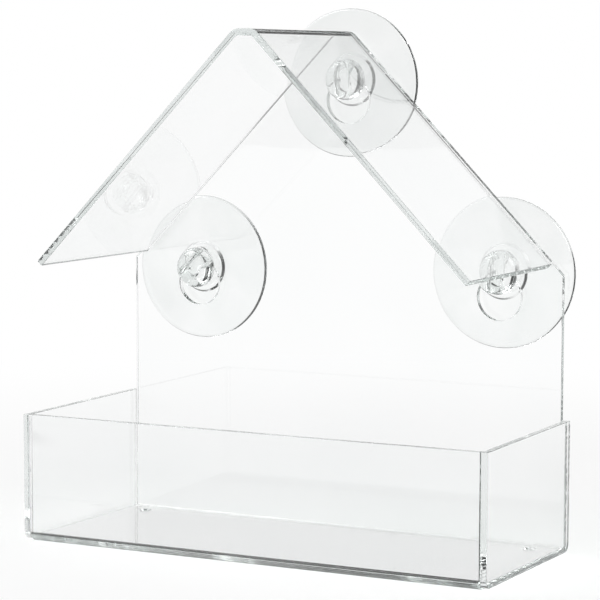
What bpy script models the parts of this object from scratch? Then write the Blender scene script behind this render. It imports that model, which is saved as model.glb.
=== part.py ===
# Clear window bird feeder: one bent sheet that is front wall, tray floor and back panel,
# two side walls, a bent roof and three suction cups that hang in keyholes of the panel.
# Metres, +Z up, front towards -Y, origin in the middle of the tray's underside.
import math

import bmesh
import bpy
from mathutils import Vector

for old in list(bpy.data.objects):
    bpy.data.objects.remove(old, do_unlink=True)

# Sheets
sheet = 0.0020              # thickness of every acrylic sheet
cement_gap = 0.0003         # joint line between two sheets

# Tray
tray_width = 0.150          # over the two side walls
tray_depth = 0.064          # front face to back face
tray_height = 0.0390        # middle of the underside to the rim
tray_bend = 0.0008          # inner radius of the two bends across the tray
floor_fall = 0.0012         # the floor drops this much from front to back
wall_lift = 0.0005          # the side walls stop this far above the underside
drain_bore = 0.0036
drain_from_end = 0.0103     # from the tray's end to the nearest drain hole
drain_from_back = 0.0092    # from the back face to the drain holes

# Roof
roof_half_width = 0.0695    # middle to the lower edge of a slope
eave_height = 0.0853        # underside to the upper corner of a lower edge
roof_pitch = math.radians(45.85)
ridge_bend = 0.0022         # inner radius of each of the ridge's two creases
ridge_flat = 0.0030         # flat strip between the creases

# Keyholes
hole_shift = 0.0016         # the keyholes are cut this far right of the middle
side_hole_spread = 0.0511   # sideways from the top keyhole to each side one
side_hole_drop = 0.0106     # an eave's upper corner down to a side keyhole's round end
top_hole_drop = 0.0219      # the ridge down to the top keyhole's round end
keyhole_bore = 0.0140       # round end that the knob goes through
slot_rise = 0.0075          # from the round end's centre to the centre of the slot's top end
slot_clearance = 0.0003

# Suction cups
neck_diameter = 0.0068
knob_diameter = 0.0126
knob_front = 0.0034         # height of the domed front over the widest ring
knob_back = 0.0014          # height of the rounded back under the widest ring
knob_foot_inset = 0.0010    # how far the knob's foot lies inside its widest ring
eye_width = 0.0046          # the eye runs up through the knob
eye_depth = 0.0030
eye_corner = 0.0012
eye_front_wall = 0.0010     # from the eye to the front of the dome
boss_diameter = 0.0162
boss_height = 0.0006
dish_diameter = 0.0452
dish_reach = 0.0022         # back face of the panel to the plane of the dish's rim
dish_hollow = 0.0006        # depth of the dish's inside at its middle
dish_bow = 0.0003           # how much the dish's front bulges between boss and rim
rim_wall = 0.0007
rim_land = 0.0014           # width of the flat ring at the rim
seat_gap = 0.0003           # cup to panel, at the knob and at the boss

# How far each neck stands above its round end, and the left cup's turn
left_rise = 0.0049
top_rise = 0.0063
right_rise = 0.0071
left_turn = math.radians(45)

# Materials
acrylic_look = {"colour": (0.93, 0.96, 0.95), "roughness": 0.02, "ior": 1.49}
vinyl_look = {"colour": (0.90, 0.93, 0.92), "roughness": 0.08, "ior": 1.53}
clearness = 0.9
sheet_crease = math.radians(30)
cup_crease = math.radians(40)

# Fineness and overrun
bend_steps = 10             # straight runs in a bend
turned_steps = 48           # sides of a turned piece
bore_steps = 36             # sides of a round hole
merge_distance = 0.000002
cut_overrun = 0.0020        # how far a cutter runs past what it cuts

# Places that follow from the sizes
front_y = -tray_depth / 2
back_y = tray_depth / 2
panel_front_y = back_y - sheet
wall_inside = tray_width / 2 - sheet
sheet_end = wall_inside - cement_gap
tray_bend_outer = tray_bend + sheet
floor_tilt = math.atan2(floor_fall, tray_depth)
drain_spread = tray_width / 2 - drain_from_end
neck_radius = neck_diameter / 2
quarter = math.pi / 2

# The ridge, as two creases with a flat strip between them
outer_crease = ridge_bend + sheet
crease_x = ridge_flat / 2
slope_run = (roof_half_width - crease_x) * math.sin(roof_pitch)
crease_z = eave_height + (slope_run - outer_crease) / math.cos(roof_pitch)
ridge_height = crease_z + outer_crease

# Where each cup stands: sideways, its keyhole, the neck's rise, its turn
side_hole_height = eave_height - side_hole_drop
cup_places = {
    "left": (hole_shift - side_hole_spread, side_hole_height, left_rise, left_turn),
    "top": (hole_shift, ridge_height - top_hole_drop, top_rise, 0.0),
    "right": (hole_shift + side_hole_spread, side_hole_height, right_rise, 0.0),
}


# Points on a circle, from one angle to another
def arc(across, up, radius, start, end, steps):
    turns = [start + (end - start) * step / steps for step in range(steps + 1)]
    return [(across + radius * math.cos(turn), up + radius * math.sin(turn)) for turn in turns]


# An object made from a finished bmesh
def add_object(name, shape):
    mesh = bpy.data.meshes.new(name)
    shape.to_mesh(mesh)
    shape.free()
    item = bpy.data.objects.new(name, mesh)
    bpy.context.scene.collection.objects.link(item)
    return item


# A closed outline drawn out along a vector into a solid
def extruded(name, corners, sweep):
    shape = bmesh.new()
    face = shape.faces.new([shape.verts.new(corner) for corner in corners])
    drawn = bmesh.ops.extrude_face_region(shape, geom=[face])
    moved = [piece for piece in drawn["geom"] if isinstance(piece, bmesh.types.BMVert)]
    bmesh.ops.translate(shape, vec=sweep, verts=moved)
    bmesh.ops.recalc_face_normals(shape, faces=shape.faces)
    return add_object(name, shape)


# A profile of (radius, along) points turned about the Y axis, both ends on the axis
def turned(name, profile):
    shape = bmesh.new()
    line = [shape.verts.new((radius, along, 0)) for radius, along in profile]
    edges = [shape.edges.new(pair) for pair in zip(line, line[1:])]
    bmesh.ops.spin(shape, geom=line + edges, cent=(0, 0, 0), axis=(0, 1, 0),
                   angle=math.tau, steps=turned_steps, use_duplicate=False)
    bmesh.ops.remove_doubles(shape, verts=shape.verts, dist=merge_distance)
    bmesh.ops.recalc_face_normals(shape, faces=shape.faces)
    return add_object(name, shape)


# One solid cut out of another, with the cutter kept as a hidden guide
def cut(item, cutter):
    cutter.hide_render = True
    cutter.display_type = "WIRE"
    cutter.hide_set(True)
    change = item.modifiers.new(cutter.name, "BOOLEAN")
    change.operation = "DIFFERENCE"
    change.solver = "EXACT"
    change.object = cutter


# A clear material of its own, with bends and turned faces smooth and corners sharp
def finish(item, look, crease):
    item.data.shade_smooth()
    item.data.set_sharp_from_angle(angle=crease)
    material = bpy.data.materials.new(item.name)
    material.use_nodes = True
    shader = material.node_tree.nodes["Principled BSDF"]
    shader.inputs["Base Color"].default_value = (*look["colour"], 1)
    shader.inputs["Roughness"].default_value = look["roughness"]
    shader.inputs["IOR"].default_value = look["ior"]
    shader.inputs["Metallic"].default_value = 0
    shader.inputs["Transmission Weight"].default_value = clearness
    item.data.materials.append(material)


# The roof's section at a depth under its upper face, as (across, up) from eave to eave
def roof_line(depth):
    normal = Vector((math.sin(roof_pitch), math.cos(roof_pitch)))
    eave = Vector((roof_half_width, eave_height)) - depth * normal
    right = arc(crease_x, crease_z, outer_crease - depth, quarter, quarter - roof_pitch, bend_steps)
    right.append((eave.x, eave.y))
    left = [(-across, up) for across, up in reversed(right)]
    return left + right


# The roof's upper line run on past both eaves, closed off above the gable
def sky_outline():
    line = roof_line(0)
    past = tray_width / 2 + cut_overrun
    low = eave_height - (past - roof_half_width) * math.tan(roof_pitch)
    slopes = [(-past, low)] + line[1:-1] + [(past, low)]
    return slopes + [(past, ridge_height + cut_overrun), (-past, ridge_height + cut_overrun)]


# One of the tray's two bends, seen from the side, from one angle to another
def tray_arc(side, radius, start, end):
    along = side * (back_y - tray_bend_outer)
    up = (tray_bend_outer - along * math.sin(floor_tilt)) / math.cos(floor_tilt)
    return arc(along, up, radius, start, end, bend_steps)


# The outer line from the front rim under the floor to a height at the back
def under_line(lift, top):
    down = 3 * quarter - floor_tilt
    bends = tray_arc(-1, tray_bend_outer, 2 * quarter, down)
    bends += tray_arc(1, tray_bend_outer, down, 4 * quarter)
    return [(front_y, tray_height)] + [(along, up + lift) for along, up in bends] + [(back_y, top)]


# Front wall, bend, tray floor, bend and back panel as one strip of even thickness
def body_outline():
    top = ridge_height + cut_overrun / 2
    down = 3 * quarter - floor_tilt
    inside = [(panel_front_y, top)]
    inside += tray_arc(1, tray_bend, 4 * quarter, down)
    inside += tray_arc(-1, tray_bend, down, 2 * quarter)
    inside.append((front_y + sheet, tray_height))
    return under_line(0, top) + inside


def make_body_sheet():
    corners = [(-sheet_end, along, up) for along, up in body_outline()]
    body = extruded("body_sheet", corners, (2 * sheet_end, 0, 0))
    through_panel = (0, sheet + 2 * cut_overrun, 0)
    corners = [(across, panel_front_y - cut_overrun, up) for across, up in sky_outline()]
    cut(body, extruded("gable_cutter", corners, through_panel))
    for side, (across, height, rise, turn) in cup_places.items():
        corners = [(over, panel_front_y - cut_overrun, up) for over, up in keyhole(across, height)]
        cut(body, extruded("keyhole_cutter_" + side, corners, through_panel))
    for side, sign in (("left", -1), ("right", 1)):
        cut(body, drain_cutter("drain_cutter_" + side, sign * drain_spread))
    finish(body, acrylic_look, sheet_crease)


# A round hole with a slot that rises from it and ends in a half circle
def keyhole(across, height):
    slot = neck_radius + slot_clearance
    bore = keyhole_bore / 2
    meet = math.asin(slot / bore)
    edge = arc(across, height + slot_rise, slot, 0, 2 * quarter, bore_steps // 2)
    edge += arc(across, height, bore, quarter + meet, 5 * quarter - meet, bore_steps)
    return edge


def drain_cutter(name, across):
    ring = arc(across, back_y - drain_from_back, drain_bore / 2, 0, math.tau, bore_steps // 2)
    corners = [(over, along, -cut_overrun) for over, along in ring[:-1]]
    return extruded(name, corners, (0, 0, sheet + 2 * cut_overrun))


# A flat plate over one end of the tray, its lower corners round like the bends
def make_side_wall(name, sign):
    corners = [(sign * wall_inside, along, up) for along, up in under_line(wall_lift, tray_height)]
    finish(extruded(name, corners, (sign * sheet, 0, 0)), acrylic_look, sheet_crease)


# One sheet creased twice along the ridge, its back edge cemented to the panel's front
def make_roof():
    edge = roof_line(0) + list(reversed(roof_line(sheet)))
    corners = [(across, front_y, up) for across, up in edge]
    depth = panel_front_y - cement_gap - front_y
    finish(extruded("roof_sheet", corners, (0, depth, 0)), acrylic_look, sheet_crease)


# Half section of a cup, front to back, as (radius, along) with 0 at the panel's back face
def cup_profile():
    knob_radius = knob_diameter / 2
    boss_radius = boss_diameter / 2
    rim_radius = dish_diameter / 2
    foot = -sheet - seat_gap
    widest = foot - knob_back
    turns = [quarter * step / bend_steps for step in range(bend_steps + 1)]
    dome = [(knob_radius * math.sin(turn), widest - knob_front * math.cos(turn)) for turn in turns]
    under = [(knob_radius - knob_foot_inset * (1 - math.cos(turn)), widest + knob_back * math.sin(turn))
             for turn in turns[2::2]]
    neck = [(neck_radius, foot), (neck_radius, seat_gap)]
    boss = [(boss_radius, seat_gap), (boss_radius, seat_gap + boss_height)]

    lip = rim_radius - rim_wall / 2
    lip_centre = dish_reach - rim_wall / 2
    start = seat_gap + boss_height
    front = []
    for step in range(1, bend_steps):
        share = step / bend_steps
        along = start + (dish_reach - rim_wall - start) * share - dish_bow * share * (1 - share)
        front.append((boss_radius + (lip - boss_radius) * share, along))
    edge = arc(lip, lip_centre, rim_wall / 2, -quarter, quarter, bend_steps // 2)
    land = rim_radius - rim_land
    shares = [step / bend_steps for step in range(bend_steps, -1, -1)]
    back = [(land * share, dish_reach - dish_hollow * (1 - share * share)) for share in shares]
    return dome + under + neck + boss + front + edge + back


# The eye's section, a rectangle with round corners, as (across, along)
def eye_outline():
    middle = -sheet - seat_gap - knob_back - knob_front + eye_front_wall + eye_depth / 2
    half_width = eye_width / 2 - eye_corner
    half_depth = eye_depth / 2 - eye_corner
    edge = []
    for number, (over, along) in enumerate(((1, 1), (-1, 1), (-1, -1), (1, -1))):
        edge += arc(over * half_width, middle + along * half_depth, eye_corner,
                    number * quarter, (number + 1) * quarter, bend_steps // 2)
    return edge


# One soft moulding: knob with its eye, neck, boss and dish
def make_cup(side, across, height, turn):
    cup = turned("suction_cup_" + side, cup_profile())
    reach = knob_diameter / 2 + cut_overrun
    corners = [(over, along, -reach) for over, along in eye_outline()]
    eye = extruded("eye_cutter_" + side, corners, (0, 0, 2 * reach))
    for item in (cup, eye):
        item.location = (across, back_y, height)
        item.rotation_euler = (0, turn, 0)
    cut(cup, eye)
    finish(cup, vinyl_look, cup_crease)


make_body_sheet()
make_side_wall("side_wall_left", -1)
make_side_wall("side_wall_right", 1)
make_roof()
for side, (across, height, rise, turn) in cup_places.items():
    make_cup(side, across, height + rise, turn)
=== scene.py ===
# Clear acrylic window feeder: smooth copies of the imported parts, their materials, the light and the camera.
import bpy
import bmesh
import math
import numpy as np
from mathutils import Matrix, Vector


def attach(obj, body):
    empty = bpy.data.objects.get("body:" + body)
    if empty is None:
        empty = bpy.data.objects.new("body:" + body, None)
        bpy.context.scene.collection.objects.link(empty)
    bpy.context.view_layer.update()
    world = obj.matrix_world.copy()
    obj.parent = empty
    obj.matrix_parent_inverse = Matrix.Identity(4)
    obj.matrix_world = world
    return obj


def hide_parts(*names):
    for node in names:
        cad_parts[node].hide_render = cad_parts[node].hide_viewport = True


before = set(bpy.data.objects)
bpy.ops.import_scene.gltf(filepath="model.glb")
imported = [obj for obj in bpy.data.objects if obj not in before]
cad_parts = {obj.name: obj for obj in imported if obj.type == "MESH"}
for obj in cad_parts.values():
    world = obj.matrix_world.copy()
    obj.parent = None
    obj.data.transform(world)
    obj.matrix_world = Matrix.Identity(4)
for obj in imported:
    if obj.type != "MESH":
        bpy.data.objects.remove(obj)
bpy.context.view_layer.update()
scene = bpy.context.scene
mm = 0.001


def linearColour(hexText):
    # sRGB hex to linear RGBA: each channel is undone from the display curve
    channels = [int(hexText[i:i + 2], 16) / 255 for i in (0, 2, 4)]
    linear = [c / 12.92 if c <= 0.04045 else ((c + 0.055) / 1.055) ** 2.4 for c in channels]
    return (*linear, 1.0)


def addNode(tree, kind, settings=None, values=None, links=None):
    # one node with its own settings, its socket values and what feeds its sockets
    node = tree.nodes.new(kind)
    for key, value in (settings or {}).items():
        setattr(node, key, value)
    for key, value in (values or {}).items():
        node.inputs[key].default_value = value
    for key, source in (links or {}).items():
        tree.links.new(source, node.inputs[key])
    return node


def emptyMaterial(name):
    material = bpy.data.materials.new(name)
    material.use_nodes = True
    material.node_tree.nodes.clear()
    return material, material.node_tree


# polished cast acrylic: water clear, a very faint green-grey through the sheet, and faces that wave
# by a fiftieth of a millimetre, so what they mirror bends a little
acrylic = {
    "tintThin": "ffffff",
    "tintThick": "fafbfb",
    "depthHex": "b4c8c2",
    "depthPerMetre": 3.0,
    "ior": 1.49,
    "waveSpan": 38 * mm,
    "waveHeight": 0.02 * mm,
    "roughFace": 0.006,
    "roughScuff": 0.05,
    "scuffSpan": 9 * mm,
    "scuffFrom": 0.55,
    "scuffTo": 0.85,
    "lampTint": "f4f8f6",  # what lamps lose on their way through, as a shadow's colour
}


def finishClear(tree, surface, finish):
    # the surface itself for every ray but a shadow ray, which passes with the lamp tint; absorption inside
    through = addNode(tree, "ShaderNodeBsdfTransparent", values={"Color": linearColour(finish["lampTint"])})
    ray = addNode(tree, "ShaderNodeLightPath")
    both = addNode(tree, "ShaderNodeMixShader",
                   links={0: ray.outputs["Is Shadow Ray"], 1: surface.outputs[0], 2: through.outputs[0]})
    inside = {}
    if "depthPerMetre" in finish:
        colour = linearColour(finish["depthHex"])
        depth = addNode(tree, "ShaderNodeVolumeAbsorption",
                        values={"Color": colour, "Density": finish["depthPerMetre"]})
        inside = {"Volume": depth.outputs[0]}
    addNode(tree, "ShaderNodeOutputMaterial", links={"Surface": both.outputs[0], **inside})


def makeAcrylic(name, seedOffset):
    material, tree = emptyMaterial(name)
    place = addNode(tree, "ShaderNodeTexCoord")
    moved = addNode(tree, "ShaderNodeMapping", values={"Location": (seedOffset, seedOffset * 0.7, 0)},
                    links={"Vector": place.outputs["Object"]})
    wave = addNode(tree, "ShaderNodeTexNoise", values={"Scale": 1 / acrylic["waveSpan"], "Detail": 1.5},
                   links={"Vector": moved.outputs["Vector"]})
    tint = addNode(tree, "ShaderNodeMix", {"data_type": "RGBA"},
                   {6: linearColour(acrylic["tintThin"]), 7: linearColour(acrylic["tintThick"])},
                   {0: wave.outputs["Fac"]})
    scuff = addNode(tree, "ShaderNodeTexNoise",
                    values={"Scale": 1 / acrylic["scuffSpan"], "Detail": 6.0, "Roughness": 0.7},
                    links={"Vector": moved.outputs["Vector"]})
    rough = addNode(tree, "ShaderNodeMapRange",
                    values={"From Min": acrylic["scuffFrom"], "From Max": acrylic["scuffTo"],
                            "To Min": acrylic["roughFace"], "To Max": acrylic["roughScuff"]},
                    links={"Value": scuff.outputs["Fac"]})
    bump = addNode(tree, "ShaderNodeBump", values={"Strength": 1.0, "Distance": acrylic["waveHeight"]},
                   links={"Height": wave.outputs["Fac"]})
    sheet = addNode(tree, "ShaderNodeBsdfPrincipled",
                    values={"IOR": acrylic["ior"], "Transmission Weight": 1.0, "Metallic": 0.0},
                    links={"Base Color": tint.outputs[2], "Roughness": rough.outputs["Result"],
                           "Normal": bump.outputs["Normal"]})
    finishClear(tree, sheet, acrylic)
    return material


# cured solvent cement: acrylic again with fine bubbles, its grey tint painted shade for the light the bubbles
# turn away, so the joint lines look dark and broken
seamCement = {
    "paleBubbleShadeHex": "7d8684",
    "darkBubbleShadeHex": "1e2221",
    "bubbleShadeSpan": 1.5 * mm,
    "roughness": 0.22,
    "ior": 1.49,
    "lampTint": "aab2b0",
}


def makeSeamCement(name):
    material, tree = emptyMaterial(name)
    place = addNode(tree, "ShaderNodeTexCoord")
    bubbleShade = addNode(tree, "ShaderNodeTexNoise",
                    values={"Scale": 1 / seamCement["bubbleShadeSpan"], "Detail": 2.0},
                    links={"Vector": place.outputs["Object"]})
    # painted shade: the cement's dark grey tint, in patches, stands in for light its bubbles turn away
    tint = addNode(tree, "ShaderNodeMix", {"data_type": "RGBA"},
                   {6: linearColour(seamCement["paleBubbleShadeHex"]), 7: linearColour(seamCement["darkBubbleShadeHex"])},
                   {0: bubbleShade.outputs["Fac"]})
    body = addNode(tree, "ShaderNodeBsdfPrincipled",
                   values={"IOR": seamCement["ior"], "Transmission Weight": 1.0, "Metallic": 0.0,
                           "Roughness": seamCement["roughness"]}, links={"Base Color": tint.outputs[2]})
    finishClear(tree, body, seamCement)
    return material


# moulded clear vinyl: softer gloss than the sheet, with the faint swirl of the melt in it
vinyl = {
    "tintThin": "ffffff",
    "tintThick": "f0f3f2",
    "depthHex": "b4c8c2",
    "depthPerMetre": 6.0,
    "ior": 1.53,
    "swirlSpan": 14 * mm,
    "swirlHeight": 0.03 * mm,
    "swirlFrom": 0.4,
    "swirlTo": 0.8,
    "roughLow": 0.01,
    "roughHigh": 0.06,
    "lampTint": "eef3f1",
}


def makeVinyl(name):
    material, tree = emptyMaterial(name)
    place = addNode(tree, "ShaderNodeTexCoord")
    swirl = addNode(tree, "ShaderNodeTexNoise",
                    values={"Scale": 1 / vinyl["swirlSpan"], "Detail": 2.0, "Distortion": 0.6},
                    links={"Vector": place.outputs["Object"]})
    tint = addNode(tree, "ShaderNodeMix", {"data_type": "RGBA"},
                   {6: linearColour(vinyl["tintThin"]), 7: linearColour(vinyl["tintThick"])},
                   {0: swirl.outputs["Fac"]})
    rough = addNode(tree, "ShaderNodeMapRange",
                    values={"From Min": vinyl["swirlFrom"], "From Max": vinyl["swirlTo"],
                            "To Min": vinyl["roughLow"], "To Max": vinyl["roughHigh"]},
                    links={"Value": swirl.outputs["Fac"]})
    bump = addNode(tree, "ShaderNodeBump", values={"Strength": 1.0, "Distance": vinyl["swirlHeight"]},
                   links={"Height": swirl.outputs["Fac"]})
    soft = addNode(tree, "ShaderNodeBsdfPrincipled",
                   values={"IOR": vinyl["ior"], "Transmission Weight": 1.0, "Metallic": 0.0},
                   links={"Base Color": tint.outputs[2], "Roughness": rough.outputs["Result"],
                          "Normal": bump.outputs["Normal"]})
    finishClear(tree, soft, vinyl)
    return material


# sheet pieces: laser-cut edges that are eased and flame-polished, and bends that stay round
sheetFinish = {
    "mergeWithin": 0.002 * mm,
    "flatAngle": 0.2,
    "cutAngle": 40,
    "easing": 0.16 * mm,
    "easingSteps": 3,
    "smoothAngle": 38,
}


def shadeByArea(mesh, smoothAngle):
    # corner normal = sum of (face normal x face weight) over the faces at its point that turn less than
    # smoothAngle from its own face, so broad flat faces stay flat up to their eased edges
    faceCount = len(mesh.polygons)
    loopCount = len(mesh.loops)
    normals = np.empty(faceCount * 3)
    mesh.polygons.foreach_get("normal", normals)
    normals = normals.reshape(-1, 3)
    weights = np.empty(faceCount)
    mesh.attributes["weight"].data.foreach_get("value", weights)
    points = np.empty(loopCount, dtype=np.int32)
    mesh.loops.foreach_get("vertex_index", points)
    sizes = np.empty(faceCount, dtype=np.int32)
    mesh.polygons.foreach_get("loop_total", sizes)
    faces = np.repeat(np.arange(faceCount), sizes)
    order = np.argsort(points, kind="stable")
    points, faces = points[order], faces[order]
    total = normals[faces] * weights[faces, None]
    limit = math.cos(math.radians(smoothAngle))
    for step in range(1, int(np.bincount(points).max())):
        alike = (points[step:] == points[:-step])
        alike &= (normals[faces[step:]] * normals[faces[:-step]]).sum(axis=1) > limit
        share = alike[:, None]
        total[step:] += share * normals[faces[:-step]] * weights[faces[:-step], None]
        total[:-step] += share * normals[faces[step:]] * weights[faces[step:], None]
    corners = np.empty((loopCount, 3))
    corners[order] = total / np.linalg.norm(total, axis=1)[:, None]
    mesh.attributes.remove(mesh.attributes["weight"])
    mesh.shade_smooth()
    mesh.normals_split_custom_set(corners.tolist())


def finishPiece(net, pieceName, material, smoothAngle, body, nodeName):
    # faces carry their whole area as their weight before they are cut to triangles
    weight = net.faces.layers.float.new("weight")
    for face in net.faces:
        face[weight] = face.calc_area()
    bmesh.ops.triangulate(net, faces=net.faces)
    mesh = bpy.data.meshes.new(pieceName)
    net.to_mesh(mesh)
    net.free()
    for name in [a.name for a in mesh.attributes if a.name == "custom_normal"]:
        mesh.attributes.remove(mesh.attributes[name])
    shadeByArea(mesh, smoothAngle)
    mesh.materials.clear()
    mesh.materials.append(material)
    piece = bpy.data.objects.new(pieceName, mesh)
    scene.collection.objects.link(piece)
    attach(piece, body)
    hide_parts(nodeName)
    print("piece", pieceName, len(mesh.polygons))


def makeSheet(nodeName, pieceName, material):
    # the node's own faces, merged, with a small quarter round along every cut edge
    net = bmesh.new()
    net.from_mesh(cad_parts[nodeName].data)
    bmesh.ops.remove_doubles(net, verts=net.verts, dist=sheetFinish["mergeWithin"])
    bmesh.ops.dissolve_limit(net, angle_limit=math.radians(sheetFinish["flatAngle"]),
                             verts=net.verts, edges=net.edges)
    for layer in list(net.loops.layers.float_vector.values()):
        net.loops.layers.float_vector.remove(layer)
    cutAngle = math.radians(sheetFinish["cutAngle"])
    cut = [edge for edge in net.edges if edge.calc_face_angle(0) > cutAngle]
    bmesh.ops.bevel(net, geom=cut, offset=sheetFinish["easing"], offset_type="OFFSET", affect="EDGES",
                    profile=0.5, segments=sheetFinish["easingSteps"], clamp_overlap=False)
    finishPiece(net, pieceName, material, sheetFinish["smoothAngle"], "feeder", nodeName)


# solvent cement in the seams between walls and bent sheet: flat drops of cured acrylic, with air between
cement = {
    "seamMiddle": 72.85 * mm,
    "thickness": 0.22 * mm,
    "length": 2.6 * mm,
    "halfWidth": 0.75 * mm,
    "spacing": 2.0 * mm,
    "sideways": 0.2 * mm,
    "alongShare": 0.3,
    "shortest": 0.45,
    "narrowest": 0.5,
    "fromEnd": 1.0 * mm,
    "inFromFace": 1.0 * mm,
    "bend": 0.8 * mm,
    "rimHeight": 38.5 * mm,
    "floorTilt": 1.07,
    "around": 16,
    "along": 9,
    "seed": 7,
}


def sheetLine():
    # (y, z) down the front wall's middle, under the floor and up the back panel, with cut-off corners
    box = np.array([point.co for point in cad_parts["body_sheet"].data.vertices])
    inset, bend = cement["inFromFace"], cement["bend"]
    fall = math.tan(math.radians(cement["floorTilt"]))
    top = cement["rimHeight"] - cement["fromEnd"]
    front, back = box[:, 1].min(), box[:, 1].max()
    frontFloor, backFloor = inset - fall * front, inset - fall * back
    return np.array([(front + inset, top), (front + inset, frontFloor + bend),
                     (front + inset + bend, frontFloor), (back - inset - bend, backFloor),
                     (back - inset, backFloor + bend), (back - inset, top)])


def makeCement(name, material, side):
    # squashed balls: x, y, z = middle + half size x unit ball,
    # strung along the sheet's line on one side wall
    corners = sheetLine()
    steps = np.linalg.norm(np.diff(corners, axis=0), axis=1)
    reach = np.concatenate([[0], np.cumsum(steps)])
    luck = np.random.default_rng(cement["seed"] + (side > 0))
    count = int(reach[-1] / cement["spacing"])
    jitter = luck.uniform(-cement["alongShare"], cement["alongShare"], count)
    run = np.clip((np.arange(count) + 0.5 + jitter) * cement["spacing"], 0, reach[-1])
    middleY, middleZ = (np.interp(run, reach, corners[:, i]) for i in (0, 1))
    step = 0.1 * mm
    aheadY, aheadZ = (np.interp(run + step, reach, corners[:, i]) for i in (0, 1))
    behindY, behindZ = (np.interp(run - step, reach, corners[:, i]) for i in (0, 1))
    heading = np.arctan2(aheadZ - behindZ, aheadY - behindY)
    shift = luck.uniform(-1, 1, count) * cement["sideways"]
    halfLong = cement["length"] / 2 * luck.uniform(cement["shortest"], 1.0, count)
    halfWide = cement["halfWidth"] * luck.uniform(cement["narrowest"], 1.0, count)
    turn = np.arange(cement["around"]) * 2 * math.pi / cement["around"]
    tilt = np.linspace(0, math.pi, cement["along"] + 1)[1:-1]
    ball = np.stack([np.repeat(np.cos(tilt), len(turn)), np.outer(np.sin(tilt), np.cos(turn)).ravel(),
                     np.outer(np.sin(tilt), np.sin(turn)).ravel()], axis=1)
    ball = np.concatenate([ball, [(1, 0, 0), (-1, 0, 0)]])
    u = ball[None, :, 1] * halfLong[:, None]
    v = ball[None, :, 2] * halfWide[:, None] + shift[:, None]
    x = np.broadcast_to(side * cement["seamMiddle"] + ball[None, :, 0] * cement["thickness"] / 2, u.shape)
    y = middleY[:, None] + u * np.cos(heading)[:, None] - v * np.sin(heading)[:, None]
    z = middleZ[:, None] + u * np.sin(heading)[:, None] + v * np.cos(heading)[:, None]
    points = np.stack([x, y, z], axis=2).reshape(-1, 3)
    here = np.arange(len(turn))
    after = (here + 1) % len(turn)
    rows = (np.arange(len(tilt) - 1) * len(turn))[:, None]
    below = rows + len(turn)
    quads = np.stack([rows + here, below + here, below + after, rows + after], axis=2).reshape(-1, 4)
    top, bottom, last = len(ball) - 2, len(ball) - 1, (len(tilt) - 1) * len(turn)
    caps = np.concatenate([np.stack([np.full(len(turn), top), here, after], axis=1),
                           np.stack([np.full(len(turn), bottom), last + after, last + here], axis=1)])
    offsets = np.arange(count)[:, None, None] * len(ball)
    faces = (offsets + quads).reshape(-1, 4).tolist() + (offsets + caps).reshape(-1, 3).tolist()
    mesh = bpy.data.meshes.new(name)
    mesh.from_pydata(points.tolist(), [], faces)
    net = bmesh.new()
    net.from_mesh(mesh)
    bmesh.ops.recalc_face_normals(net, faces=net.faces)
    net.to_mesh(mesh)
    net.free()
    mesh.shade_smooth()
    mesh.materials.append(material)
    drops = bpy.data.objects.new(name, mesh)
    scene.collection.objects.link(drops)
    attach(drops, "feeder")
    print("piece", name, len(mesh.polygons))


# suction cup, one soft moulding: knob with an eye, neck through the keyhole, boss, dish and rim
cup = {
    "around": 128,
    "knobRadius": 6.3 * mm,
    "domeRise": 3.4 * mm,
    "frontRadius": 3.9 * mm,
    "frontBow": 0.25 * mm,
    "frontFrom": 0.3,
    "frontTo": 0.97,
    "gateRadius": 0.85 * mm,
    "gateDepth": 0.35 * mm,
    "knobBack": 1.4 * mm,
    "footInset": 1.0 * mm,
    "neckRadius": 3.4 * mm,
    "neckFillet": 0.35 * mm,
    "sheet": 2.0 * mm,
    "seat": 0.3 * mm,
    "bossRadius": 8.2 * mm,
    "bossRise": 1.0 * mm,
    "bossSlope": 0.85 * mm,
    "bossRound": 0.2 * mm,
    "dishRadius": 22.6 * mm,
    "dishReach": 2.2 * mm,
    "dishHollow": 0.6 * mm,
    "dishBow": 0.15 * mm,
    "rimThick": 1.15 * mm,
    "rimSlope": 0.8 * mm,
    "rimLip": 0.1 * mm,
    "rimLand": 1.4 * mm,
    "eyeWidth": 4.6 * mm,
    "eyeDepth": 3.0 * mm,
    "eyeCorner": 0.4 * mm,
    "eyeWall": 1.0 * mm,
    "eyeOverrun": 2.0 * mm,
    "smallest": 0.001 * mm,
    "smoothAngle": 35,
}


def arcPoints(centre, radius, start, end, steps):
    # points on a circle arc: centre + radius x (cos, sin) of evenly spaced angles
    turn = np.radians(np.linspace(start, end, steps + 1))
    return np.stack([centre[0] + radius * np.cos(turn), centre[1] + radius * np.sin(turn)], axis=1)


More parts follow.
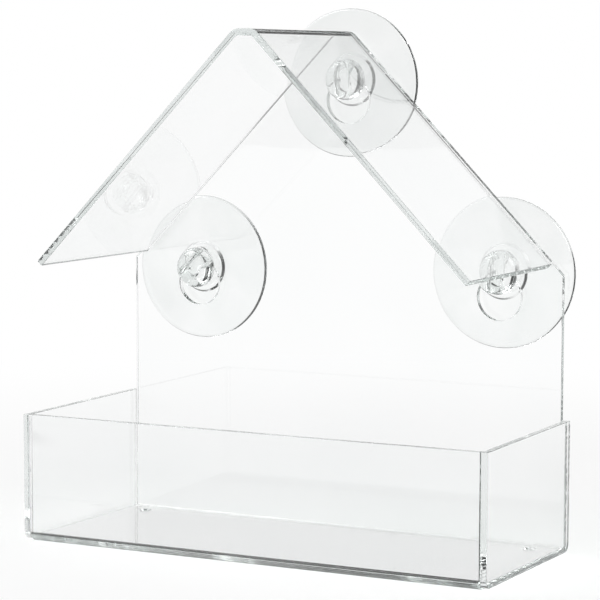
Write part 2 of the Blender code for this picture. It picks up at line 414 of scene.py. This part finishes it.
def cupProfile():
    # (radius, along) from the knob's tip to the middle of the dish's inside; along is 0 at the panel's
    # back. front = a bow of share squared with a dimple left by the mould's gate; shoulder, foot and rim
    # are quarter ellipses; dish = a line with a bow of share x (1 - share); inside = a bow of share squared
    foot = -cup["sheet"] - cup["seat"]
    widest = foot - cup["knobBack"]
    tip = widest - cup["domeRise"]
    gateShare = cup["gateRadius"] / cup["frontRadius"]
    share = np.concatenate([np.linspace(0, gateShare, 9),
                            np.linspace(cup["frontFrom"], cup["frontTo"], 8)])
    gate = np.clip(1 - (cup["frontRadius"] * share / cup["gateRadius"]) ** 2, 0, 1)
    face = np.stack([cup["frontRadius"] * share,
                     tip + cup["frontBow"] * share ** 2 + cup["gateDepth"] * gate ** 2], axis=1)
    turn = np.linspace(0, math.pi / 2, 21)
    shoulder = np.stack([cup["frontRadius"] + (cup["knobRadius"] - cup["frontRadius"]) * np.sin(turn),
                         widest - (cup["domeRise"] - cup["frontBow"]) * np.cos(turn)], axis=1)
    turn = turn[2::2]
    under = np.stack([cup["knobRadius"] - cup["footInset"] * (1 - np.cos(turn)),
                      widest + cup["knobBack"] * np.sin(turn)], axis=1)
    fillet = cup["neckFillet"]
    neckTop = arcPoints((cup["neckRadius"] + fillet, foot + fillet), fillet, 270, 180, 4)
    neckFoot = arcPoints((cup["neckRadius"] + fillet, cup["seat"] - fillet), fillet, 180, 90, 4)
    soft = cup["bossRound"]
    lean = math.degrees(math.atan2(cup["bossRise"], cup["bossSlope"]))
    bossTop = (cup["bossRadius"] - cup["bossSlope"], cup["seat"] + soft)
    bossEdge = arcPoints(bossTop, soft, 270, 270 + lean, 4)
    bossFoot = arcPoints((cup["bossRadius"], cup["seat"] + cup["bossRise"] - soft), soft, 90 + lean, 90, 4)
    lip = cup["rimLip"]
    turn = np.linspace(0, math.pi / 2, 15)
    rimEdge = np.stack([cup["dishRadius"] - cup["rimSlope"] * (1 - np.sin(turn)),
                        cup["dishReach"] - lip - (cup["rimThick"] - lip) * np.cos(turn)], axis=1)
    rimLip = arcPoints((cup["dishRadius"] - lip, cup["dishReach"] - lip), lip, 0, 90, 5)[1:]
    share = np.linspace(0, 1, 22)[1:-1]
    start, end = bossFoot[-1], rimEdge[0]
    bow = cup["dishBow"] * share * (1 - share)
    slope = np.stack([start[0] + (end[0] - start[0]) * share,
                      start[1] + (end[1] - start[1]) * share - bow], axis=1)
    share = np.linspace(1, 0, 24)[:-1]
    land = cup["dishRadius"] - cup["rimLand"]
    inside = np.stack([land * share, cup["dishReach"] - cup["dishHollow"] * (1 - share ** 2)], axis=1)
    middle = [(0.0, cup["dishReach"] - cup["dishHollow"])]
    return np.concatenate([face, shoulder, under, neckTop, neckFoot, bossEdge, bossFoot, slope,
                           rimEdge, rimLip, inside, middle])


def turnedMesh(name, profile, around):
    # profile carried round the Y axis: x = radius x cos(turn), y = along, z = radius x sin(turn);
    # each pole is one point
    turn = np.arange(around) * 2 * math.pi / around
    ring = profile[1:-1]
    count = len(ring)
    points = np.stack([ring[:, :1] * np.cos(turn), np.repeat(ring[:, 1:], around, axis=1),
                       ring[:, :1] * np.sin(turn)], axis=2)
    points = np.concatenate([points.reshape(-1, 3), [(0, profile[0, 1], 0), (0, profile[-1, 1], 0)]])
    here = np.arange(around)
    after = (here + 1) % around
    rows = (np.arange(count - 1) * around)[:, None]
    below = rows + around
    quads = np.stack([rows + here, rows + after, below + after, below + here], axis=2).reshape(-1, 4)
    last = (count - 1) * around
    front = np.stack([np.full(around, count * around), after, here], axis=1)
    back = np.stack([np.full(around, count * around + 1), last + here, last + after], axis=1)
    mesh = bpy.data.meshes.new(name)
    mesh.from_pydata(points.tolist(), [], quads.tolist() + front.tolist() + back.tolist())
    return mesh


def eyeMesh(name):
    # rectangle with round corners in x and y, carried straight up through the knob
    front = -cup["sheet"] - cup["seat"] - cup["knobBack"] - cup["domeRise"] + cup["eyeWall"]
    halfWidth, halfDepth = cup["eyeWidth"] / 2 - cup["eyeCorner"], cup["eyeDepth"] / 2 - cup["eyeCorner"]
    middle = front + cup["eyeDepth"] / 2
    signs = ((1, 1), (-1, 1), (-1, -1), (1, -1))
    corners = [arcPoints((x * halfWidth, middle + y * halfDepth), cup["eyeCorner"], 90 * i, 90 * i + 90, 5)
               for i, (x, y) in enumerate(signs)]
    edge = np.concatenate(corners)
    reach = cup["knobRadius"] + cup["eyeOverrun"]
    low = np.column_stack([edge, np.full(len(edge), -reach)])
    high = np.column_stack([edge, np.full(len(edge), reach)])
    here = np.arange(len(edge))
    after = (here + 1) % len(edge)
    sides = np.stack([here, after, after + len(edge), here + len(edge)], axis=1)
    mesh = bpy.data.meshes.new(name)
    mesh.from_pydata(np.concatenate([low, high]).tolist(), [],
                     sides.tolist() + [here[::-1].tolist(), (here + len(edge)).tolist()])
    return mesh


def makeCup(nodeName, pieceName, material, body, turn):
    # one turned solid less its eye, put where the CAD cup's own box has its middle and its back
    corners = np.array([point.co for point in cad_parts[nodeName].data.vertices])
    low, high = corners.min(axis=0), corners.max(axis=0)
    place = Vector(((low[0] + high[0]) / 2, high[1] - cup["dishReach"], (low[2] + high[2]) / 2))
    solidName, eyeName = pieceName + "Solid", pieceName + "Eye"
    solid = bpy.data.objects.new(solidName, turnedMesh(solidName, cupProfile(), cup["around"]))
    eye = bpy.data.objects.new(eyeName, eyeMesh(eyeName))
    for item in (solid, eye):
        net = bmesh.new()
        net.from_mesh(item.data)
        bmesh.ops.recalc_face_normals(net, faces=net.faces)
        net.transform(Matrix.Translation(place) @ Matrix.Rotation(math.radians(turn), 4, "Y"))
        net.to_mesh(item.data)
        net.free()
        scene.collection.objects.link(item)
    bore = solid.modifiers.new("eye", "BOOLEAN")
    bore.operation = "DIFFERENCE"
    bore.solver = "EXACT"
    bore.object = eye
    bpy.context.view_layer.update()
    bored = bpy.data.meshes.new_from_object(solid.evaluated_get(bpy.context.evaluated_depsgraph_get()))
    net = bmesh.new()
    net.from_mesh(bored)
    bmesh.ops.dissolve_degenerate(net, dist=cup["smallest"], edges=net.edges)
    for item in (solid, eye):
        spent = item.data
        bpy.data.objects.remove(item)
        bpy.data.meshes.remove(spent)
    bpy.data.meshes.remove(bored)
    finishPiece(net, pieceName, material, cup["smoothAngle"], body, nodeName)


# the second value moves the noise, so no two sheets wave alike
sheetAcrylic = makeAcrylic("polishedCastAcrylicBent", 0.0)
wallAcrylic = makeAcrylic("polishedCastAcrylicWall", 0.31)
roofAcrylic = makeAcrylic("polishedCastAcrylicRoof", 0.57)
cupVinyl = makeVinyl("mouldedClearVinyl")
curedCement = makeSeamCement("curedSolventCement")

makeSheet("body_sheet", "bentBodySheet", sheetAcrylic)
makeSheet("side_wall_left", "leftWall", wallAcrylic)
makeSheet("side_wall_right", "rightWall", wallAcrylic)
makeSheet("roof_sheet", "foldedRoof", roofAcrylic)
makeCement("leftSeamCement", curedCement, -1)
makeCement("rightSeamCement", curedCement, 1)
makeCup("suction_cup_left", "leftCup", cupVinyl, "cup_left", 45)
makeCup("suction_cup_top", "topCup", cupVinyl, "cup_top", 0)
makeCup("suction_cup_right", "rightCup", cupVinyl, "cup_right", 0)


# studio: white all round for the camera. What the clear parts show of the room also has a dim ceiling,
# a grey patch of floor behind that only mirrors show, painted shade, a painted shade under the tray, upright
# flags at the sides, also painted dark on the floor, that draw the dark lines along the edges, and one dark
# spot high up behind for the line along the ridge.
# All directions are fixed in the room; +Y is behind the feeder.
studio = {
    "floorHex": "f4f4f4",
    "floorHalf": 3.0,
    "floorDrop": 0.8 * mm,
    "floorShare": 0.70,
    "fadeNear": 0.10,
    "fadeFar": 0.45,
    "mirrorMiddle": (-0.08, 0.22, 0),
    "mirrorLevel": 0.30,
    "mirrorFrom": 0.14,
    "mirrorTo": 0.24,
    "underHalf": (0.070, 0.026, 1.0),
    "underFade": 0.022,
    "underFront": 0.01,
    "underBack": 0.75,
    "underFrom": -0.0245,
    "underTo": -0.0205,
    "ceilingFrom": 0.38,
    "ceilingTo": 0.64,
    "ceilingLevel": 0.08,
    "flagsRound": 8,
    "flagWide": 0.35,
    "flagNarrow": 0.65,
    "flagSideFrom": 0.70,
    "flagSideTo": 0.78,
    "flagRight": 0.5,
    "flagLevel": 0.04,
    "roundFrom": 0.74,
    "roundTo": 0.45,
    "roundLevel": 0.20,
    "ridgeSpot": (-0.24, 0.887, 0.40),
    "ridgeSpotEdge": 0.966,
    "ridgeSpotCore": 0.982,
    "flagNear": 0.20,
    "flagFar": 0.32,
    "lampTarget": (0, 0, 0.05),
}
lamps = {
    "softboxLeft": {"place": (-0.9, -0.5, 1.1), "side": 0.9, "power": 14},
    "softboxRight": {"place": (1.0, -0.4, 0.9), "side": 0.8, "power": 9},
}

# node settings that come up often
smooth = {"interpolation_type": "SMOOTHSTEP"}
multiply = {"operation": "MULTIPLY"}
maximum = {"operation": "MAXIMUM"}
subtract = {"operation": "SUBTRACT"}


def rampFrom(low, high, start, end):
    # values of a Map Range node that goes from start at low to end at high
    return {"From Min": low, "From Max": high, "To Min": start, "To Max": end}


def flagFactor(tree, direction, reflected):
    # 1 on the left flags, less on the right ones, 0 off them: a cosine of the compass angle,
    # kept to the two sides; light that was reflected on its way sees each side as one flag
    flat = addNode(tree, "ShaderNodeVectorMath", multiply, {1: (1, 1, 0)}, {0: direction})
    unit = addNode(tree, "ShaderNodeVectorMath", {"operation": "NORMALIZE"}, links={0: flat.outputs[0]})
    split = addNode(tree, "ShaderNodeSeparateXYZ", links={0: unit.outputs[0]})
    left = addNode(tree, "ShaderNodeMapRange", smooth,
                   rampFrom(-studio["flagSideTo"], -studio["flagSideFrom"], 1.0, 0.0),
                   {"Value": split.outputs["X"]})
    right = addNode(tree, "ShaderNodeMapRange", smooth,
                    rampFrom(studio["flagSideFrom"], studio["flagSideTo"], 0.0, studio["flagRight"]),
                    {"Value": split.outputs["X"]})
    side = addNode(tree, "ShaderNodeMath", {"operation": "ADD"},
                   links={0: left.outputs[0], 1: right.outputs[0]})
    angle = addNode(tree, "ShaderNodeMath", {"operation": "ARCTAN2"},
                    links={0: split.outputs["Y"], 1: split.outputs["X"]})
    turns = addNode(tree, "ShaderNodeMath", multiply, {1: studio["flagsRound"]}, {0: angle.outputs[0]})
    wave = addNode(tree, "ShaderNodeMath", {"operation": "COSINE"}, links={0: turns.outputs[0]})
    bands = addNode(tree, "ShaderNodeMapRange", smooth,
                    rampFrom(studio["flagWide"], studio["flagNarrow"], 1.0, 0.0),
                    {"Value": wave.outputs[0]})
    full = addNode(tree, "ShaderNodeMath", maximum, links={0: bands.outputs[0], 1: reflected})
    flags = addNode(tree, "ShaderNodeMath", multiply, links={0: side.outputs[0], 1: full.outputs[0]})
    return flags.outputs[0]


def reflectedBefore(tree, ray):
    # 1 for light that was reflected at least once on its way, 0 for light that only passed through
    return addNode(tree, "ShaderNodeMath", {"operation": "GREATER_THAN"}, {1: 0.5},
                   {0: ray.outputs["Glossy Depth"]}).outputs[0]


def flagShare(tree, ray, place, away, unseen):
    # how white the floor is in what the pieces show, less the flags, which are painted shade on the floor and
    # start some way out
    flag = flagFactor(tree, place.outputs["Object"], reflectedBefore(tree, ray))
    reach = addNode(tree, "ShaderNodeMapRange", smooth,
                    rampFrom(studio["flagNear"], studio["flagFar"], 0.0, 1.0), {"Value": away})
    flagged = addNode(tree, "ShaderNodeMath", multiply, links={0: flag, 1: reach.outputs[0]})
    dark = addNode(tree, "ShaderNodeMath", multiply, links={0: flagged.outputs[0], 1: unseen})
    white = addNode(tree, "ShaderNodeMapRange", values=rampFrom(0.0, 1.0, 1.0, studio["flagLevel"]),
                    links={"Value": dark.outputs[0]})
    return white.outputs[0]


def mirrorShare(tree, ray, place):
    # how white the floor is in what mirrors show: painted shade, grey in a round patch behind the feeder
    aside = addNode(tree, "ShaderNodeVectorMath", {"operation": "DISTANCE"}, {1: studio["mirrorMiddle"]},
                    {0: place.outputs["Object"]})
    close = addNode(tree, "ShaderNodeMapRange", smooth,
                    rampFrom(studio["mirrorFrom"], studio["mirrorTo"], 1 - studio["mirrorLevel"], 0.0),
                    {"Value": aside.outputs["Value"]})
    # rough clear surfaces count as glossy for light that passes as well, so that light is taken off
    mirrorRay = addNode(tree, "ShaderNodeMath", {"operation": "SUBTRACT", "use_clamp": True},
                        links={0: ray.outputs["Is Glossy Ray"], 1: ray.outputs["Is Transmission Ray"]})
    mirrored = addNode(tree, "ShaderNodeMath", multiply,
                       links={0: close.outputs[0], 1: mirrorRay.outputs[0]})
    return addNode(tree, "ShaderNodeMath", subtract, {0: 1.0}, {1: mirrored.outputs[0]}).outputs[0]


def underShade(tree, place, unseen):
    # the tray's own shade: a soft rectangle under the feeder, and how white it is, darkest along the front
    sized = addNode(tree, "ShaderNodeVectorMath", {"operation": "ABSOLUTE"},
                    links={0: place.outputs["Object"]})
    past = addNode(tree, "ShaderNodeVectorMath", subtract, {1: studio["underHalf"]}, {0: sized.outputs[0]})
    outside = addNode(tree, "ShaderNodeVectorMath", maximum, {1: (0, 0, 0)}, {0: past.outputs[0]})
    beyond = addNode(tree, "ShaderNodeVectorMath", {"operation": "LENGTH"}, links={0: outside.outputs[0]})
    shade = addNode(tree, "ShaderNodeMapRange", smooth, rampFrom(0.0, studio["underFade"], 1.0, 0.0),
                    {"Value": beyond.outputs["Value"]})
    shaded = addNode(tree, "ShaderNodeMath", multiply, links={0: shade.outputs[0], 1: unseen})
    spot = addNode(tree, "ShaderNodeSeparateXYZ", links={0: place.outputs["Object"]})
    loss = addNode(tree, "ShaderNodeMapRange",
                   values=rampFrom(studio["underFrom"], studio["underTo"],
                                   1 - studio["underFront"], 1 - studio["underBack"]),
                   links={"Value": spot.outputs["Y"]})
    lost = addNode(tree, "ShaderNodeMath", multiply, links={0: shaded.outputs[0], 1: loss.outputs[0]})
    left = addNode(tree, "ShaderNodeMath", subtract, {0: 1.0}, {1: lost.outputs[0]})
    return shaded.outputs[0], left.outputs[0]


def makeFloorMaterial():
    # painted board for the lamps' light; for the camera and through the pieces it glows white like
    # the room, more so farther out, so that only the feeder's shadow is left of it. What the pieces show of
    # it
    # also carries painted shade: the tray's shade, the flags and a grey patch that only reflections show
    material, tree = emptyMaterial("paintedBoardFloor")
    ray = addNode(tree, "ShaderNodeLightPath")
    place = addNode(tree, "ShaderNodeTexCoord")
    seen = addNode(tree, "ShaderNodeMath", maximum,
                   links={0: ray.outputs["Is Camera Ray"], 1: ray.outputs["Is Glossy Ray"]})
    seenAll = addNode(tree, "ShaderNodeMath", maximum,
                      links={0: seen.outputs[0], 1: ray.outputs["Is Transmission Ray"]})
    unseen = addNode(tree, "ShaderNodeMath", subtract, {0: 1.0},
                     {1: ray.outputs["Is Camera Ray"]}).outputs[0]
    away = addNode(tree, "ShaderNodeVectorMath", {"operation": "LENGTH"},
                   links={0: place.outputs["Object"]}).outputs["Value"]
    fade = addNode(tree, "ShaderNodeMapRange", smooth,
                   rampFrom(studio["fadeNear"], studio["fadeFar"], studio["floorShare"], 1.0),
                   {"Value": away})
    glowing = addNode(tree, "ShaderNodeMath", multiply,
                      links={0: seenAll.outputs[0], 1: fade.outputs["Result"]})
    shaded, contact = underShade(tree, place, unseen)
    share = addNode(tree, "ShaderNodeMath", maximum, links={0: glowing.outputs[0], 1: shaded})
    unflagged, unmirrored = flagShare(tree, ray, place, away, unseen), mirrorShare(tree, ray, place)
    clearOf = addNode(tree, "ShaderNodeMath", multiply, links={0: unflagged, 1: unmirrored})
    glow = addNode(tree, "ShaderNodeMath", multiply, links={0: clearOf.outputs[0], 1: contact})
    board = addNode(tree, "ShaderNodeBsdfDiffuse", values={"Color": linearColour(studio["floorHex"])})
    white = addNode(tree, "ShaderNodeEmission", values={"Color": (1, 1, 1, 1)},
                    links={"Strength": glow.outputs[0]})
    both = addNode(tree, "ShaderNodeMixShader",
                   links={0: share.outputs[0], 1: board.outputs[0], 2: white.outputs[0]})
    addNode(tree, "ShaderNodeOutputMaterial", links={"Surface": both.outputs[0]})
    return material


def makeFloor():
    # flat square just under the feeder, corners at plus and minus floorHalf
    half, low = studio["floorHalf"], -studio["floorDrop"]
    mesh = bpy.data.meshes.new("floor")
    mesh.from_pydata([(-half, -half, low), (half, -half, low), (half, half, low), (-half, half, low)],
                     [], [(0, 1, 2, 3)])
    mesh.materials.append(makeFloorMaterial())
    floor = bpy.data.objects.new("floor", mesh)
    scene.collection.objects.link(floor)


def makeWorld():
    # white for the camera; other rays get white less a dim ceiling and the flags, and light that was
    # reflected on its way also less a grey all round but behind the feeder, and less the ridge's spot
    world = bpy.data.worlds.new("studioRoom")
    scene.world = world
    world.use_nodes = True
    tree = world.node_tree
    tree.nodes.clear()
    direction = addNode(tree, "ShaderNodeTexCoord").outputs["Generated"]
    split = addNode(tree, "ShaderNodeSeparateXYZ", links={0: direction})
    ceiling = addNode(tree, "ShaderNodeMapRange", smooth,
                      rampFrom(studio["ceilingFrom"], studio["ceilingTo"], 1.0, studio["ceilingLevel"]),
                      {"Value": split.outputs["Z"]})
    ray = addNode(tree, "ShaderNodeLightPath")
    reflected = reflectedBefore(tree, ray)
    sides = addNode(tree, "ShaderNodeMapRange", values=rampFrom(0.0, 1.0, 1.0, studio["flagLevel"]),
                    links={"Value": flagFactor(tree, direction, reflected)})
    allRound = addNode(tree, "ShaderNodeMapRange", smooth,
                       rampFrom(studio["roundTo"], studio["roundFrom"], 1 - studio["roundLevel"], 0.0),
                       {"Value": split.outputs["Y"]})
    toSpot = addNode(tree, "ShaderNodeVectorMath", {"operation": "DOT_PRODUCT"},
                     {1: Vector(studio["ridgeSpot"]).normalized()}, {0: direction})
    darkest = 1 - studio["flagLevel"]
    ridgeSpot = addNode(tree, "ShaderNodeMapRange", smooth,
                        rampFrom(studio["ridgeSpotEdge"], studio["ridgeSpotCore"], 0.0, darkest),
                        {"Value": toSpot.outputs["Value"]})
    darker = addNode(tree, "ShaderNodeMath", maximum,
                     links={0: allRound.outputs[0], 1: ridgeSpot.outputs[0]})
    dimmed = addNode(tree, "ShaderNodeMath", multiply, links={0: darker.outputs[0], 1: reflected})
    undimmed = addNode(tree, "ShaderNodeMath", subtract, {0: 1.0}, {1: dimmed.outputs[0]})
    walls = addNode(tree, "ShaderNodeMath", multiply, links={0: undimmed.outputs[0], 1: sides.outputs[0]})
    room = addNode(tree, "ShaderNodeMath", multiply, links={0: ceiling.outputs[0], 1: walls.outputs[0]})
    level = addNode(tree, "ShaderNodeMix", {"data_type": "FLOAT"}, {3: 1.0},
                    {0: ray.outputs["Is Camera Ray"], 2: room.outputs[0]})
    back = addNode(tree, "ShaderNodeBackground", values={"Color": (1, 1, 1, 1)},
                   links={"Strength": level.outputs[0]})
    addNode(tree, "ShaderNodeOutputWorld", links={"Surface": back.outputs[0]})


def makeLamp(name):
    # square softbox that faces the lamps' target
    data = bpy.data.lights.new(name, "AREA")
    data.shape = "RECTANGLE"
    data.size = data.size_y = lamps[name]["side"]
    data.energy = lamps[name]["power"]
    lamp = bpy.data.objects.new(name, data)
    lamp.location = lamps[name]["place"]
    toTarget = Vector(studio["lampTarget"]) - Vector(lamps[name]["place"])
    lamp.rotation_euler = toTarget.to_track_quat("-Z", "Y").to_euler()
    scene.collection.objects.link(lamp)


# camera at the photograph's place: lens from the picture's perspective, a slight roll as in the picture
view = {
    "place": (0.30892, -0.60476, 0.14286),
    "turn": 26.93,
    "down": 5.78,
    "roll": 0.11,
    "lens": 138.42,
    "sensor": 36,
    "nearest": 0.01,
}


def makeCamera():
    data = bpy.data.cameras.new("photoCamera")
    data.lens = view["lens"]
    data.sensor_width = view["sensor"]
    data.clip_start = view["nearest"]
    camera = bpy.data.objects.new("photoCamera", data)
    turn = Matrix.Rotation(math.radians(view["turn"]), 4, "Z")
    tip = Matrix.Rotation(math.radians(90 - view["down"]), 4, "X")
    roll = Matrix.Rotation(math.radians(view["roll"]), 4, "Z")
    camera.matrix_world = Matrix.Translation(view["place"]) @ turn @ tip @ roll
    scene.collection.objects.link(camera)
    scene.camera = camera


makeFloor()
makeWorld()
for lampName in lamps:
    makeLamp(lampName)
makeCamera()
scene.view_settings.view_transform = "Standard"
# light turns up to sixty times inside a clear sheet before it leaves at an edge
scene.cycles.max_bounces = 96
scene.cycles.glossy_bounces = 96
scene.cycles.transmission_bounces = 48
print("stage and camera set")
